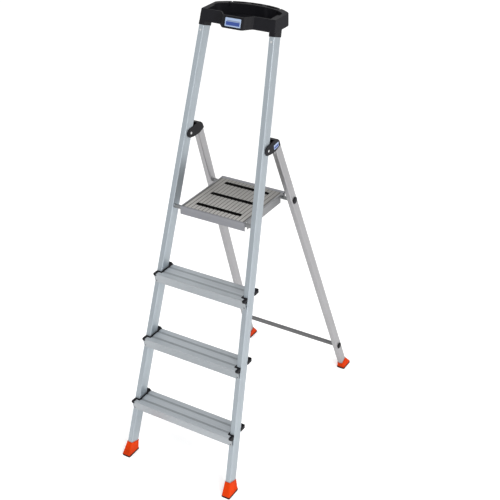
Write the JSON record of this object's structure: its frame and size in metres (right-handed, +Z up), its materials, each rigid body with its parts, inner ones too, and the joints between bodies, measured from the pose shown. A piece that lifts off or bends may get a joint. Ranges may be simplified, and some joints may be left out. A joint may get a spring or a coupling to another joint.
{
  "type": "platform step ladder",
  "caption": "Free-standing folding step ladder with flat treads, a hinged rear frame, a fold-up standing platform, a tool tray above it and moulded feet with rubber soles.",
  "frame": {"origin": "on the ground, midway between the left and right feet and midway between the foremost and rearmost points of the feet", "axes": "+Z up, +X to the ladder's right as a person climbing it faces it, +Y from the treads towards the rear legs"},
  "size_m": [0.4832, 0.9366, 1.561],
  "materials": {
    "anodised_tube": "satin anodised",
    "tread_aluminium": "satin, finely ribbed",
    "deck_aluminium": "satin, ribbed",
    "edge_aluminium": "satin",
    "bar_aluminium": "satin, fluted",
    "rivet_aluminium": "semi bright",
    "pin_steel": "zinc plated",
    "black_plastic": "fine grained",
    "grip_rubber": "matte, gritty",
    "orange_plastic": "smooth moulded",
    "sole_rubber": "matte",
    "plate_plastic": "smooth printed"
  },
  "bodies": {
    "front_frame": {"stile_left": "anodised_tube", "stile_right": "anodised_tube", "tread_1": "tread_aluminium", "tread_2": "tread_aluminium", "tread_3": "tread_aluminium", "tread_1_cap_left": "black_plastic", "tread_1_cap_right": "black_plastic", "tread_2_cap_left": "black_plastic", "tread_2_cap_right": "black_plastic", "tread_3_cap_left": "black_plastic", "tread_3_cap_right": "black_plastic", "tread_rivets": "rivet_aluminium", "tool_tray": "black_plastic", "tray_rivets": "rivet_aluminium", "tray_plate": "plate_plastic", "front_rod": "edge_aluminium", "front_foot_left": "orange_plastic", "front_foot_right": "orange_plastic", "front_sole_left": "sole_rubber", "front_sole_right": "sole_rubber", "hinge_pins": "pin_steel"},
    "rear_frame": {"rear_leg_left": "anodised_tube", "rear_leg_right": "anodised_tube", "crossbar": "bar_aluminium", "crossbar_plugs": "black_plastic", "rear_rod": "edge_aluminium", "rear_rod_plugs": "black_plastic", "hinge_bracket_left": "black_plastic", "hinge_bracket_right": "black_plastic", "bracket_rivets": "rivet_aluminium", "bracket_plate": "plate_plastic", "rear_foot_left": "orange_plastic", "rear_foot_right": "orange_plastic", "rear_sole_left": "sole_rubber", "rear_sole_right": "sole_rubber"},
    "platform": {"deck_panel": "deck_aluminium", "deck_front_profile": "edge_aluminium", "deck_rear_profile": "edge_aluminium", "deck_side_left": "deck_aluminium", "deck_side_right": "deck_aluminium", "grip_strip_front": "grip_rubber", "grip_strip_middle": "grip_rubber", "grip_strip_rear": "grip_rubber"}
  },
  "joints": [
    {"name": "rear_fold", "type": "hinge", "parent": "front_frame", "child": "rear_frame", "pos_m": [0, -0.06324, 1.15698], "axis": [-1, 0, 0], "range_deg": [0, 38]},
    {"name": "platform_tilt", "type": "hinge", "parent": "front_frame", "child": "platform", "pos_m": [0, -0.15518, 0.918], "axis": [1, 0, 0], "range_deg": [0, 72]}
  ],
  "couplings": [
    {"joint": "platform_tilt", "follows": "rear_fold", "ratio": 1.8942}
  ]
}
